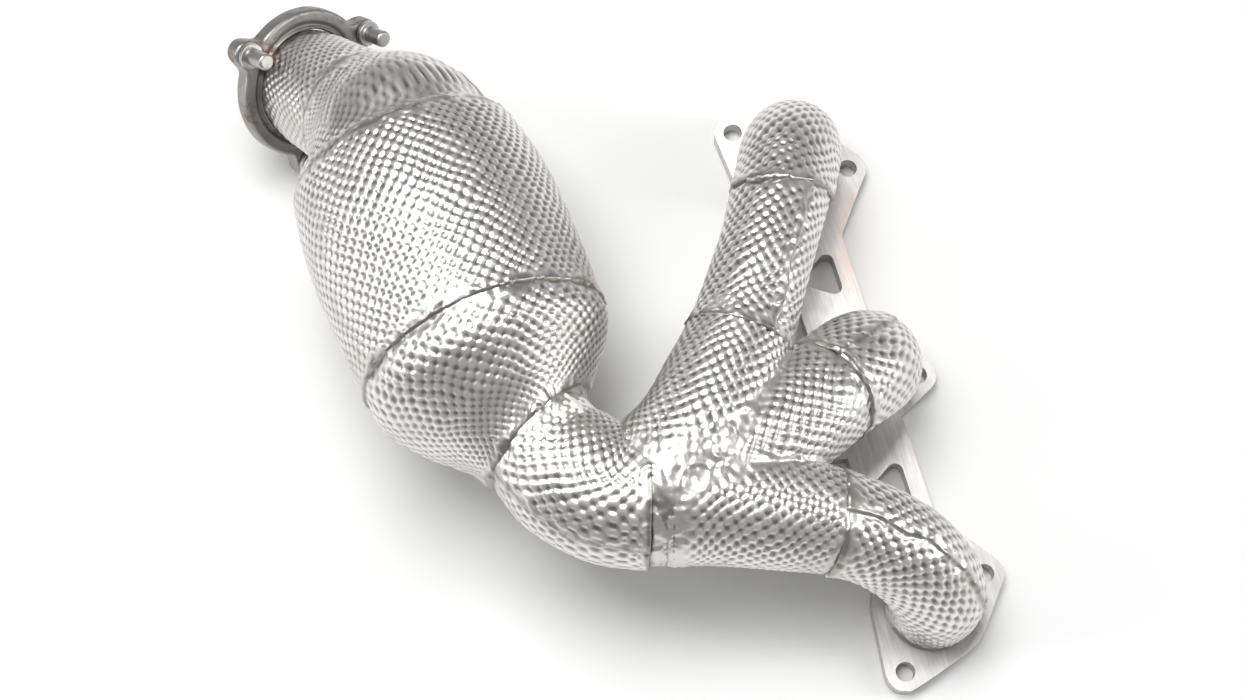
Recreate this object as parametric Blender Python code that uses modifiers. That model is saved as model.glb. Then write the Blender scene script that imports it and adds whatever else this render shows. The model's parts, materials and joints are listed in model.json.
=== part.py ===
"""Three-port exhaust manifold with a close-coupled converter, foil wrapped.

The head flange lies on Z = 0 with its mating face down. Port 2 is at the
origin, port 1 at +Y and port 3 at -Y. The converter lies towards -X.
"""

import math

import bmesh
import bpy
from mathutils import Vector

MM = 0.001
UP = Vector((0.0, 0.0, 1.0))

# head flange
PLATE = 9.0
PORT_PITCH = 118.0
PORT_R = 18.0
PORT_RING_R = 28.5
STUD_ALONG_OUT = 27.2
STUD_ACROSS_OUT = 21.6
STUD_ALONG_IN = 7.8
STUD_ACROSS_IN = 30.0
STUD_ALONG_MIDDLE = 5.8
STUD_R = 4.75
LOBE_R = 9.5
WINDOW_ALONG = 52.0
WEB_ALONG = 80.0
WEB_ACROSS = 8.0
WEB_R = 9.0
WINDOW_ACROSS = -7.0

# pipes
PIPE_R = 19.0
PIPE_WALL = 1.6
GAP = 0.3
HALF_GAP = 0.15
BEAD_R = 3.0
NECK_R = 24.0

# wrap, measured inwards from the outer foil surface
FOIL = 1.0
FIBRE_OUT = 1.7
METAL_OUT = 4.3

# converter
CAN_R = 54.0
CAN_WALL = 1.6
MAT_IN_R = 47.5
BRICK_R = 47.0
BODY_START = Vector((-177.0, 46.0, 85.0))
BODY_DIR = Vector((-0.139, 0.990, 0.0)).normalized()
BODY_LENGTH = 107.0
CAN_START = -3.0
CAN_END = 88.0

# outlet flange
OUTLET_CENTRE = Vector((-226.3, 213.7, 44.0))
OUTLET_DIR = Vector((-0.547, 0.683, -0.485)).normalized()
RING_R = 38.0
RING_IN_R = 27.7
RING_THICK = 9.0
OUTLET_BOLT_CIRCLE = 42.0
OUTLET_LOBE_R = 7.5
OUTLET_BOLT_R = 4.2
OUTLET_BOLT_TAIL = 15.0
OUTLET_PHASE = 9.2

ROUND = 16
BIG_ROUND = 32

# centrelines with the outer foil radius: x, y, z, radius
RUNNER_1 = [(0, 118, 13, 20.8), (0, 118, 25, 22.5), (-1, 116, 40, 23.5), (-9, 102, 60, 24.0),
            (-16, 89, 67.5, 23.5), (-24, 75, 74, 23.0), (-41, 46, 82, 22.5), (-56, 22, 85, 23.5)]
ELBOW_POINTS = 5
RUNNER_2 = [(0, 0, 13, 20.8), (0, 0, 25, 23.5), (0, -3, 42, 25.5), (-8, -9, 61, 26.5),
            (-28, -19, 75, 25.5)]
RUNNER_3 = [(0, -118, 13, 20.4), (0, -118, 25, 21.5), (-2, -115, 42, 22.5), (-13, -102, 64, 23.0),
            (-28, -90, 76, 23.0), (-44, -81, 83, 23.5)]
LEG_1 = [(-56, 22, 85, 23.5), (-76, -8, 89, 28.0), (-98, -34, 90, 32.0), (-122, -48, 88, 33.0)]
LEG_2 = [(-28, -19, 75, 25.5), (-52, -30, 83, 27.0), (-84, -40, 88, 29.5), (-122, -48, 88, 32.3)]
LEG_3 = [(-44, -81, 83, 23.5), (-70, -69, 87, 26.5), (-96, -56, 88, 30.5), (-122, -48, 88, 31.6)]
BEND = [(-122, -48, 88, 33.0), (-138, -43, 88, 31.5), (-154, -28, 88, 31.0), (-166, -5, 87, 31.0)]
INLET = [(-166, -5, 87, 31.0), (-170, 8, 86, 43.0), (-174, 26, 85, 56.5), (-177, 46, 85, 59.0)]
NECK = [(-204, 176, 72.5, 31.5), (-212, 189, 62.5, 29.8), (-225, 211, 46, 28.0)]
NECK_DIR = Vector((-0.40, 0.83, -0.38)).normalized()


def clear_scene():
    """Empties the file of objects and collections."""
    for item in list(bpy.data.objects):
        bpy.data.objects.remove(item, do_unlink=True)
    for item in list(bpy.data.collections):
        bpy.data.collections.remove(item)


def new_collection(name, hidden=False):
    """Makes a collection in the scene."""
    group = bpy.data.collections.new(name)
    bpy.context.scene.collection.children.link(group)
    group.hide_render = hidden
    return group


def surface(name, colour, roughness, metallic):
    """Makes one Principled material."""
    paint = bpy.data.materials.new(name)
    paint.use_nodes = True
    shader = paint.node_tree.nodes["Principled BSDF"]
    shader.inputs["Base Color"].default_value = (*colour, 1.0)
    shader.inputs["Roughness"].default_value = roughness
    shader.inputs["Metallic"].default_value = metallic
    return paint


def place(name, mesh, group, paint=None):
    """Puts a mesh into a collection as a named object."""
    item = bpy.data.objects.new(name, mesh)
    group.objects.link(item)
    if paint is not None:
        mesh.materials.clear()
        mesh.materials.append(paint)
    return item


def as_cutter(item):
    """Hides a cutter from the result."""
    item.hide_render = True
    item.display_type = "WIRE"
    return item


def mesh_of(item):
    """Turns a curve object into a clean mesh and removes the curve."""
    bpy.context.view_layer.update()
    graph = bpy.context.evaluated_depsgraph_get()
    mesh = bpy.data.meshes.new_from_object(item.evaluated_get(graph))
    mesh.transform(item.matrix_world)
    work = bmesh.new()
    work.from_mesh(mesh)
    bmesh.ops.remove_doubles(work, verts=work.verts, dist=1e-6)
    bmesh.ops.dissolve_degenerate(work, edges=work.edges, dist=1e-6)
    bmesh.ops.recalc_face_normals(work, faces=work.faces)
    if work.calc_volume(signed=True) < 0.0:
        bmesh.ops.reverse_faces(work, faces=work.faces)
    work.to_mesh(mesh)
    work.free()
    bpy.data.objects.remove(item, do_unlink=True)
    return mesh


def boolean(item, cutter, operation="DIFFERENCE", solver="EXACT"):
    """Adds one Boolean."""
    step = item.modifiers.new(operation.title(), "BOOLEAN")
    step.operation = operation
    step.solver = solver
    step.object = cutter
    return step


def slopes_of(line, start_dir, end_dir):
    """The direction and pace of a smooth line at each of its points."""
    last = len(line) - 1
    slopes = []
    for index in range(last + 1):
        low = line[max(index - 1, 0)]
        high = line[min(index + 1, last)]
        slope = (high - low) * (0.5 if 0 < index < last else 1.0)
        if index == 0:
            slope = with_direction(slope, start_dir)
        if index == last:
            slope = with_direction(slope, end_dir)
        slopes.append(slope)
    return slopes


def with_direction(slope, direction):
    """Keeps the length of a slope and turns it along a direction."""
    length = Vector(slope[:3]).length
    turned = Vector(direction).normalized() * length
    return Vector((turned.x, turned.y, turned.z, slope[3]))


def along(point, direction, distance, radius=None):
    """Moves a centreline point along a direction."""
    moved = Vector(point[:3]) + Vector(direction).normalized() * distance
    return Vector((moved.x, moved.y, moved.z, point[3] if radius is None else radius))


def sweep(line, start_dir, end_dir, inset, trims=(0.0, 0.0), radius=None, facets=ROUND, caps=True):
    """Makes a round bar, or an open tube, along a line, its radius less the inset."""
    trim_start, trim_end = trims
    path = [Vector(point) for point in line]
    path[0] = along(path[0], start_dir, trim_start)
    path[-1] = along(path[-1], end_dir, -trim_end)
    slopes = slopes_of(path, start_dir, end_dir)
    curve = bpy.data.curves.new("sweep", "CURVE")
    curve.dimensions = "3D"
    curve.fill_mode = "FULL"
    curve.bevel_depth = MM
    curve.bevel_resolution = facets // 2 - 2
    curve.resolution_u = 1
    curve.use_fill_caps = caps
    curve.twist_mode = "MINIMUM"
    spline = curve.splines.new("BEZIER")
    spline.bezier_points.add(len(path) - 1)
    for slot, point, slope in zip(spline.bezier_points, path, slopes):
        slot.handle_left_type = "FREE"
        slot.handle_right_type = "FREE"
        slot.co = Vector(point[:3]) * MM
        slot.handle_left = Vector((point - slope / 3)[:3]) * MM
        slot.handle_right = Vector((point + slope / 3)[:3]) * MM
        slot.radius = (point[3] if radius is None else radius) - inset
    item = bpy.data.objects.new("sweep", curve)
    bpy.context.scene.collection.objects.link(item)
    return mesh_of(item)


def shell(name, line, start_dir, end_dir, outer, inner, paint, trims=(HALF_GAP, HALF_GAP), facets=ROUND,
          outer_radius=None, inner_radius=None):
    """A pipe or wrap between two insets, or two radii, along one line."""
    work = bmesh.new()
    work.from_mesh(sweep(line, start_dir, end_dir, outer, trims, outer_radius, facets, False))
    outer_rim = [edge for edge in work.edges if edge.is_boundary]
    work.from_mesh(sweep(line, start_dir, end_dir, inner, trims, inner_radius, facets, False))
    outer_set = set(outer_rim)
    inner_rim = set()
    for edge in work.edges:
        if edge.is_boundary and edge not in outer_set:
            inner_rim.update(edge.verts)
    for edge in outer_rim:
        first, second = edge.verts
        third = min(inner_rim, key=lambda vertex: (vertex.co - second.co).length)
        fourth = min(inner_rim, key=lambda vertex: (vertex.co - first.co).length)
        work.faces.new((first, second, third, fourth))
    bmesh.ops.recalc_face_normals(work, faces=work.faces)
    if work.calc_volume(signed=True) < 0.0:
        bmesh.ops.reverse_faces(work, faces=work.faces)
    mesh = bpy.data.meshes.new(name)
    work.to_mesh(mesh)
    work.free()
    return place(name, mesh, PARTS, paint)


def ring_points(centre, direction, radius, facets):
    """Points of a circle about a direction, the first one sideways."""
    side = direction.cross(UP).normalized()
    rise = direction.cross(side)
    points = []
    for index in range(facets):
        angle = 2 * math.pi * index / facets
        offset = side * math.cos(angle) + rise * math.sin(angle)
        points.append((Vector(centre) + offset * radius) * MM)
    return points


def slanted_cone(name, rings, wall, paint, facets=24):
    """A hollow cone through rings that aren't parallel: centre, direction, outer radius."""
    work = bmesh.new()
    loops = []
    for centre, direction, radius in rings:
        loops.append([work.verts.new(point) for point in ring_points(centre, direction, radius, facets)])
    for centre, direction, radius in reversed(rings):
        inner = ring_points(centre, direction, radius - wall, facets)
        loops.append([work.verts.new(point) for point in inner])
    for index, loop in enumerate(loops):
        following = loops[(index + 1) % len(loops)]
        for corner in range(facets):
            after = (corner + 1) % facets
            work.faces.new((loop[corner], loop[after], following[after], following[corner]))
    bmesh.ops.recalc_face_normals(work, faces=work.faces)
    if work.calc_volume(signed=True) < 0.0:
        bmesh.ops.reverse_faces(work, faces=work.faces)
    mesh = bpy.data.meshes.new(name)
    work.to_mesh(mesh)
    work.free()
    return place(name, mesh, PARTS, paint)


def turned(name, profile, centre, direction, paint=None, group=None, facets=BIG_ROUND):
    """A turned ring or bar: the profile lists radius and height pairs in millimetres."""
    mesh = bpy.data.meshes.new(name)
    work = bmesh.new()
    corners = [work.verts.new((radius * MM, 0.0, height * MM)) for radius, height in profile]
    closed = profile[0][0] > 0.0
    for index in range(len(corners) - (0 if closed else 1)):
        work.edges.new((corners[index], corners[(index + 1) % len(corners)]))
    work.to_mesh(mesh)
    work.free()
    item = place(name, mesh, PARTS if group is None else group, paint)
    item.location = Vector(centre) * MM
    item.rotation_euler = Vector(direction).to_track_quat("Z", "Y").to_euler()
    turn = item.modifiers.new("Turn", "SCREW")
    turn.steps = facets
    turn.render_steps = facets
    turn.use_merge_vertices = True
    turn.merge_threshold = 0.00005
    return item


def block(name, centre, direction, size):
    """A cutter box standing on a point and reaching along a direction."""
    mesh = bpy.data.meshes.new(name)
    work = bmesh.new()
    bmesh.ops.create_cube(work, size=1.0)
    for vertex in work.verts:
        vertex.co.z += 0.5
        vertex.co *= size * MM
    work.to_mesh(mesh)
    work.free()
    item = as_cutter(place(name, mesh, CUTTERS))
    item.location = Vector(centre) * MM
    item.rotation_euler = Vector(direction).to_track_quat("Z", "Y").to_euler()
    return item


def flat_plate(name, outline, thickness, group, paint=None, holes=()):
    """A flat plate from a 2D outline, standing on Z = 0."""
    curve = bpy.data.curves.new(name, "CURVE")
    curve.dimensions = "2D"
    curve.fill_mode = "BOTH"
    curve.extrude = thickness * MM / 2
    for loop in (outline, *holes):
        spline = curve.splines.new("POLY")
        spline.points.add(len(loop) - 1)
        for slot, (across, along_y) in zip(spline.points, loop):
            slot.co = (across * MM, along_y * MM, 0.0, 1.0)
        spline.use_cyclic_u = True
    item = bpy.data.objects.new(name, curve)
    bpy.context.scene.collection.objects.link(item)
    item.location.z = thickness * MM / 2
    return place(name, mesh_of(item), group, paint)


def circle(centre, radius, count, start=0.0):
    """Points of a circle."""
    points = []
    for index in range(count):
        angle = start + 2 * math.pi * index / count
        points.append((centre[0] + radius * math.cos(angle), centre[1] + radius * math.sin(angle)))
    return points


def hull_of_discs(discs, count=24):
    """The outline wrapped tightly round a set of discs given as x, y, radius."""
    cloud = []
    for across, along_y, radius in discs:
        cloud += circle((across, along_y), radius, count)
    cloud = sorted(set(cloud))
    halves = []
    for order in (cloud, cloud[::-1]):
        half = []
        for point in order:
            while len(half) > 1 and turn_of(half[-2], half[-1], point) <= 1e-9:
                half.pop()
            half.append(point)
        halves.append(half[:-1])
    return halves[0] + halves[1]


def turn_of(first, second, third):
    """Positive where three points turn left."""
    return ((second[0] - first[0]) * (third[1] - first[1])
            - (second[1] - first[1]) * (third[0] - first[0]))


def stud_places():
    """The six stud holes, two at each port."""
    return [
        (-STUD_ACROSS_OUT, PORT_PITCH + STUD_ALONG_OUT),
        (STUD_ACROSS_IN, PORT_PITCH - STUD_ALONG_IN),
        (STUD_ACROSS_IN, -STUD_ALONG_MIDDLE),
        (-STUD_ACROSS_OUT, -STUD_ALONG_OUT),
        (STUD_ACROSS_IN, -PORT_PITCH + STUD_ALONG_IN),
        (-STUD_ACROSS_OUT, -PORT_PITCH - STUD_ALONG_OUT),
    ]


def window(centre_y, flip):
    """A rounded triangular hole between two ports."""
    corners = [(WINDOW_ACROSS, centre_y), (WINDOW_ACROSS + 11.0, centre_y + 7.0 * flip),
               (WINDOW_ACROSS + 11.0, centre_y - 7.0 * flip)]
    return hull_of_discs([(across, along_y, 4.0) for across, along_y in corners], 16)


def reach(outlines, height, side):
    """How far a set of outlines reaches to one side at one height."""
    best = None
    for outline in outlines:
        for index, first in enumerate(outline):
            second = outline[(index + 1) % len(outline)]
            low, high = sorted((first[1], second[1]))
            if low <= height <= high and high - low > 1e-9:
                share = (height - first[1]) / (second[1] - first[1])
                across = first[0] + share * (second[0] - first[0])
                if best is None or across * side > best * side:
                    best = across
    return best


def thin_out(points, tolerance):
    """Drops the points that lie almost on the line between their neighbours."""
    kept = [points[0]]
    start = 0
    for index in range(2, len(points)):
        first = points[start]
        last = points[index]
        length = math.dist(first, last)
        spread = max(abs(turn_of(first, last, point)) / length for point in points[start + 1:index])
        if spread > tolerance:
            start = index - 1
            kept.append(points[start])
    kept.append(points[-1])
    return kept


def union_outline(outlines, step=1.5):
    """One outline round a stack of overlapping outlines, read level by level."""
    low = min(point[1] for outline in outlines for point in outline) + 0.02
    high = max(point[1] for outline in outlines for point in outline) - 0.02
    count = int((high - low) / step)
    levels = [low + (high - low) * index / count for index in range(count + 1)]
    right = thin_out([(reach(outlines, level, 1.0), level) for level in levels], 0.12)
    left = thin_out([(reach(outlines, level, -1.0), level) for level in levels], 0.12)
    return right + left[::-1]


def build_head_flange():
    """The plate that bolts to the cylinder head."""
    studs = stud_places()
    shapes = [hull_of_discs([(-9.0, PORT_PITCH, 7.5), (7.0, PORT_PITCH, 9.0),
                             (-9.0, -PORT_PITCH, 7.5), (7.0, -PORT_PITCH, 9.0)], 16)]
    for index, centre_y in enumerate((PORT_PITCH, 0.0, -PORT_PITCH)):
        for across, along_y in studs[2 * index:2 * index + 2]:
            shapes.append(hull_of_discs([(0.0, centre_y, PORT_RING_R), (across, along_y, LOBE_R)]))
    for side in (1.0, -1.0):
        stud = (STUD_ACROSS_IN, side * (PORT_PITCH - STUD_ALONG_IN), LOBE_R)
        shapes.append(hull_of_discs([stud, (WEB_ACROSS, side * WEB_ALONG, WEB_R)]))
    holes = [circle((0.0, y), PORT_R, 24) for y in (PORT_PITCH, 0.0, -PORT_PITCH)]
    holes += [circle(middle, STUD_R, 24) for middle in studs]
    holes += [window(WINDOW_ALONG + 5.0, 1), window(-WINDOW_ALONG - 5.0, 1)]
    return flat_plate("head_flange", union_outline(shapes), PLATE, PARTS, FLANGE_STEEL, holes)


def direction_between(first, second):
    """The unit direction from one centreline point to another."""
    return (Vector(second[:3]) - Vector(first[:3])).normalized()


JOIN_1 = direction_between(RUNNER_1[-2], LEG_1[1])
JOIN_2 = direction_between(RUNNER_2[-2], LEG_2[1])
JOIN_3 = direction_between(RUNNER_3[-2], LEG_3[1])
COLLECTOR_OUT = Vector((-0.97, 0.22, 0.0)).normalized()
BEND_OUT = Vector((-0.42, 0.90, -0.08)).normalized()
ELBOW_SEAM = direction_between(RUNNER_1[ELBOW_POINTS - 2], RUNNER_1[ELBOW_POINTS])


def build_runners():
    """Runner pipes, their weld beads, fibre layers and foil wraps."""
    routes = ((1, RUNNER_1, JOIN_1), (2, RUNNER_2, JOIN_2), (3, RUNNER_3, JOIN_3))
    for number, route, join in routes:
        foot = Vector((route[0][0], route[0][1], PLATE + GAP, 20.0))
        pipe_line = [foot] + route[1:]
        shell("runner_pipe_%d" % number, pipe_line, UP, join, 0.0, 0.0, PIPE_STEEL, (0.0, HALF_GAP),
              outer_radius=PIPE_R, inner_radius=PIPE_R - PIPE_WALL)
        bead = [(PIPE_R + GAP + BEAD_R, PLATE + GAP), (PIPE_R + GAP, PLATE + GAP),
                (PIPE_R + GAP, PLATE + GAP + BEAD_R)]
        turned("weld_bead_%d" % number, bead, (route[0][0], route[0][1], 0.0), UP, WELD_STEEL,
               facets=24)
        fibre_line = route[1:]
        shell("fibre_runner_%d" % number, fibre_line, UP, join, FIBRE_OUT, 0.0, FIBRE,
              inner_radius=PIPE_R + 0.5)
        if number == 1:
            upper = route[:ELBOW_POINTS]
            lower = route[ELBOW_POINTS - 1:]
            shell("foil_runner_1_elbow", upper, UP, ELBOW_SEAM, 0.0, FOIL, FOIL_STEEL)
            shell("foil_runner_1", lower, ELBOW_SEAM, join, 0.0, FOIL, FOIL_STEEL)
        else:
            shell("foil_runner_%d" % number, route, UP, join, 0.0, FOIL, FOIL_STEEL)


def merged(name, outer, inner, paint):
    """Three legs joined into one outlet and hollowed by three slimmer legs.

    The exact solver loses a leg where the legs nearly coincide, so these use MANIFOLD.
    """
    legs = ((LEG_1, JOIN_1), (LEG_2, JOIN_2), (LEG_3, JOIN_3))
    solids = []
    bores = []
    for index, (leg, join) in enumerate(legs):
        solid = sweep(leg, join, COLLECTOR_OUT, outer[index], (HALF_GAP, -6.0 - index))
        bore = sweep(leg, join, COLLECTOR_OUT, inner[index], (-2.0, -6.4 - index))
        solids.append(solid)
        bores.append(bore)
    body = place(name, solids[0], PARTS, paint)
    for index in (1, 2):
        extra = as_cutter(place("%s_leg_%d" % (name, index + 1), solids[index], CUTTERS))
        boolean(body, extra, "UNION", "MANIFOLD")
    stop = Vector(LEG_1[-1][:3]) - COLLECTOR_OUT * HALF_GAP
    boolean(body, block(name + "_end", stop, COLLECTOR_OUT, 90.0), "DIFFERENCE", "MANIFOLD")
    for index in range(3):
        extra = as_cutter(place("%s_bore_%d" % (name, index + 1), bores[index], CUTTERS))
        boolean(body, extra, "DIFFERENCE", "MANIFOLD")
    return body


def build_collector():
    """Collector, fibre layer and foil, one inside the other."""
    metal = [METAL_OUT + 1.5, METAL_OUT + 1.5, METAL_OUT + 1.0]
    hollow = [value + PIPE_WALL for value in metal]
    merged("collector", metal, hollow, PIPE_STEEL)
    merged("fibre_collector", [FIBRE_OUT + 0.6] * 3, [value - 1.2 for value in metal], FIBRE)
    merged("foil_collector", [0.0] * 3, [FOIL] * 3, FOIL_STEEL)


def build_bend():
    """The bend between the collector and the converter."""
    ends = (COLLECTOR_OUT, BEND_OUT)
    shell("connecting_bend", BEND, *ends, METAL_OUT, METAL_OUT + PIPE_WALL, PIPE_STEEL)
    shell("fibre_bend", BEND, *ends, FIBRE_OUT, METAL_OUT - 0.5, FIBRE)
    shell("foil_bend", BEND, *ends, 0.0, FOIL, FOIL_STEEL)


def build_inlet_cone():
    """The cone that spreads the gas over the converter."""
    ends = (BEND_OUT, BODY_DIR)
    shell("inlet_cone", INLET, *ends, METAL_OUT + 0.7, METAL_OUT + 0.7 + PIPE_WALL, PIPE_STEEL,
          (HALF_GAP, 3.3), BIG_ROUND)
    shell("fibre_inlet_cone", INLET, *ends, FIBRE_OUT, METAL_OUT + 0.1, FIBRE, (HALF_GAP, 3.3), BIG_ROUND)
    shell("foil_inlet_cone", INLET, *ends, 0.0, FOIL, FOIL_STEEL, (HALF_GAP, HALF_GAP), BIG_ROUND)


def build_converter():
    """The can, its mat and monolith, and the wrap round them."""
    lower = CAN_START + HALF_GAP
    upper = CAN_END
    can = [(CAN_R, upper), (CAN_R, lower), (CAN_R - CAN_WALL, lower), (CAN_R - CAN_WALL, upper)]
    turned("converter_can", can, BODY_START, BODY_DIR, PIPE_STEEL)
    mat_r = CAN_R - CAN_WALL - GAP
    mat = [(mat_r, upper - 6), (mat_r, lower + 6), (MAT_IN_R + GAP, lower + 6), (MAT_IN_R + GAP, upper - 6)]
    turned("support_mat", mat, BODY_START, BODY_DIR, FIBRE)
    brick = [(0.0, upper - 5), (BRICK_R, upper - 5), (BRICK_R, lower + 5), (0.0, lower + 5)]
    turned("catalyst_monolith", brick, BODY_START, BODY_DIR, CERAMIC)
    profile = [(59.0, HALF_GAP), (60.6, 20.0), (61.2, 40.0), (60.6, 60.0), (58.5, 78.0), (55.0, 92.0),
               (50.5, 101.0), (46.0, BODY_LENGTH - HALF_GAP)]
    outside = [(radius, height) for radius, height in reversed(profile)]
    inside = [(radius - FOIL, height) for radius, height in profile]
    turned("foil_body", outside + inside, BODY_START, BODY_DIR, FOIL_STEEL)
    blanket = [(radius - FIBRE_OUT, height) for radius, height in profile[:5]]
    blanket[0] = (blanket[0][0], lower)
    core = CAN_R + 0.5
    outside = list(reversed(blanket)) + [(core, lower), (core, profile[4][1])]
    turned("fibre_body", outside, BODY_START, BODY_DIR, FIBRE)


def build_outlet():
    """Outlet cone, neck pipe and their wraps."""
    first = BODY_START + BODY_DIR * CAN_END
    neck_start = Vector(NECK[0][:3])
    top = BODY_START + BODY_DIR * BODY_LENGTH
    middle_dir = (BODY_DIR + NECK_DIR).normalized()
    metal = [(first + BODY_DIR * HALF_GAP, BODY_DIR, CAN_R), (first + BODY_DIR * 8.0, BODY_DIR, 50.0),
             (first + BODY_DIR * 20.0, BODY_DIR, 39.0), (neck_start - NECK_DIR * HALF_GAP, NECK_DIR, NECK_R)]
    slanted_cone("outlet_cone", metal, CAN_WALL, PIPE_STEEL)
    foil = [(top + BODY_DIR * HALF_GAP, BODY_DIR, 46.0), ((top + neck_start) / 2, middle_dir, 37.8),
            (neck_start - NECK_DIR * HALF_GAP, NECK_DIR, 31.5)]
    slanted_cone("foil_outlet_cone", foil, FOIL, FOIL_STEEL)
    ends = (NECK_DIR, OUTLET_DIR)
    shell("foil_neck", NECK, *ends, 0.0, FOIL, FOIL_STEEL, (HALF_GAP, HALF_GAP), 24)
    shell("fibre_neck", NECK, *ends, FIBRE_OUT, 0.0, FIBRE, (HALF_GAP, 3.0), 24, inner_radius=NECK_R + 0.7)
    pipe = [(*NECK[0][:3], NECK_R), (*NECK[1][:3], NECK_R),
            (*(OUTLET_CENTRE - OUTLET_DIR * 3.0), NECK_R), (*(OUTLET_CENTRE + OUTLET_DIR * 4.0), NECK_R)]
    shell("outlet_pipe", pipe, *ends, 0.0, PIPE_WALL, PIPE_STEEL, (HALF_GAP, 0.0), 24)


def outlet_lobe(index):
    """Centre of one outlet bolt on the front plane of the outlet flange."""
    side = OUTLET_DIR.cross(UP).normalized()
    rise = OUTLET_DIR.cross(side)
    angle = math.radians(OUTLET_PHASE + 120.0 * index)
    offset = side * math.cos(angle) + rise * math.sin(angle)
    return OUTLET_CENTRE + offset * OUTLET_BOLT_CIRCLE


def build_outlet_flange():
    """The three-lobed outlet flange, its sealing lip and its bolts.

    The ears end on faces of the turned ring, where only the MANIFOLD solver joins them.
    """
    lip_r = NECK_R + GAP
    lip = [(lip_r + 3.0, 3.2), (lip_r + 3.0, 0.0), (lip_r, 0.0), (lip_r, 3.2)]
    turned("outlet_lip", lip, OUTLET_CENTRE, OUTLET_DIR, WELD_STEEL, facets=24)
    ring = [(RING_R - 1.5, RING_THICK), (RING_R, RING_THICK - 1.5), (RING_R, 1.5), (RING_R - 2.0, 0.0),
            (RING_IN_R, 0.0), (RING_IN_R, RING_THICK)]
    flange = turned("outlet_flange", ring, OUTLET_CENTRE, OUTLET_DIR, RUSTY_STEEL)
    for index in range(3):
        middle = outlet_lobe(index)
        ear = [(0.0, RING_THICK - 1.0), (OUTLET_LOBE_R, RING_THICK - 1.0), (OUTLET_LOBE_R, 0.5), (0.0, 0.5)]
        boolean(flange, as_cutter(turned("ear_%d" % index, ear, middle, OUTLET_DIR, None, CUTTERS, 16)),
                "UNION", "MANIFOLD")
        hole = [(0.0, 20.0), (OUTLET_BOLT_R + GAP, 20.0), (OUTLET_BOLT_R + GAP, -20.0), (0.0, -20.0)]
        boolean(flange, as_cutter(turned("hole_%d" % index, hole, middle, OUTLET_DIR, None, CUTTERS, 16)),
                "DIFFERENCE", "MANIFOLD")
        bolt = [(0.0, RING_THICK + 2.0), (OUTLET_BOLT_R, RING_THICK + 2.0), (OUTLET_BOLT_R, -GAP),
                (OUTLET_BOLT_R + 2.2, -GAP), (OUTLET_BOLT_R + 2.2, -3.0), (OUTLET_BOLT_R, -3.0),
                (OUTLET_BOLT_R, 1.0 - OUTLET_BOLT_TAIL), (OUTLET_BOLT_R - 1.0, -OUTLET_BOLT_TAIL),
                (0.0, -OUTLET_BOLT_TAIL)]
        turned("outlet_bolt_%d" % (index + 1), bolt, middle, OUTLET_DIR, BOLT_STEEL, facets=16)


clear_scene()
PARTS = new_collection("exhaust_manifold")
CUTTERS = new_collection("cutters", hidden=True)
FLANGE_STEEL = surface("flange_steel", (0.72, 0.70, 0.68), 0.45, 1.0)
PIPE_STEEL = surface("pipe_steel", (0.50, 0.46, 0.42), 0.40, 1.0)
WELD_STEEL = surface("weld_steel", (0.45, 0.42, 0.40), 0.45, 1.0)
FOIL_STEEL = surface("foil_steel", (0.80, 0.79, 0.77), 0.22, 1.0)
RUSTY_STEEL = surface("rusty_steel", (0.42, 0.38, 0.35), 0.50, 1.0)
BOLT_STEEL = surface("bolt_steel", (0.55, 0.54, 0.53), 0.40, 1.0)
FIBRE = surface("fibre", (0.86, 0.84, 0.78), 0.95, 0.0)
CERAMIC = surface("ceramic", (0.62, 0.55, 0.45), 0.90, 0.0)

build_head_flange()
build_runners()
build_collector()
build_bend()
build_inlet_cone()
build_converter()
build_outlet()
build_outlet_flange()
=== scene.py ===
import json
import math

import bmesh
import bpy
import numpy as np
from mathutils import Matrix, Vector


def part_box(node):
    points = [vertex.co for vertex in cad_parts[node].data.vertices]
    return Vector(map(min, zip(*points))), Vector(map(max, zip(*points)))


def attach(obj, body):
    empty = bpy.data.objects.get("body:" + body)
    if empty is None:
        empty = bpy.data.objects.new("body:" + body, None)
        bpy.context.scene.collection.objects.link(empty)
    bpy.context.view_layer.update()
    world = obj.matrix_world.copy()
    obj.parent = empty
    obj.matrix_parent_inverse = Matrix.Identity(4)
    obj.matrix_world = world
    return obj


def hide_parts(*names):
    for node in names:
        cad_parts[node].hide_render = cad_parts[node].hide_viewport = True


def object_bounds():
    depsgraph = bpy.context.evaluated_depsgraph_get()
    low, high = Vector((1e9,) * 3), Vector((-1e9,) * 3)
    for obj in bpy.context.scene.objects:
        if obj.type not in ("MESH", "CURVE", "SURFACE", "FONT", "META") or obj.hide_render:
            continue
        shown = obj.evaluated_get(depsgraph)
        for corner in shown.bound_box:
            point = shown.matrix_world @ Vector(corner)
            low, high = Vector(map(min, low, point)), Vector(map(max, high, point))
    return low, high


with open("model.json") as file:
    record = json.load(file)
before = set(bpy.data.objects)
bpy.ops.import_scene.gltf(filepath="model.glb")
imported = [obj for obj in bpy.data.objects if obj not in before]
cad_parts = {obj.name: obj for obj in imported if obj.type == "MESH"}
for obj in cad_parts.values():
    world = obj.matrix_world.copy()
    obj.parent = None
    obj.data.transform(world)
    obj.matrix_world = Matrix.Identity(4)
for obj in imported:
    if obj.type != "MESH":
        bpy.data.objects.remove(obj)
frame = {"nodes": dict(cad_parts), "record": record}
CAD_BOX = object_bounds()

# What the CAD gives.
PLATE_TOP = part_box("head_flange")[1].z
PLATE_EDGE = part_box("head_flange")[1].x        # the head flange's edge away from the converter
PORT_PITCH = (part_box("weld_bead_1")[0].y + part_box("weld_bead_1")[1].y) / 2

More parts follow.
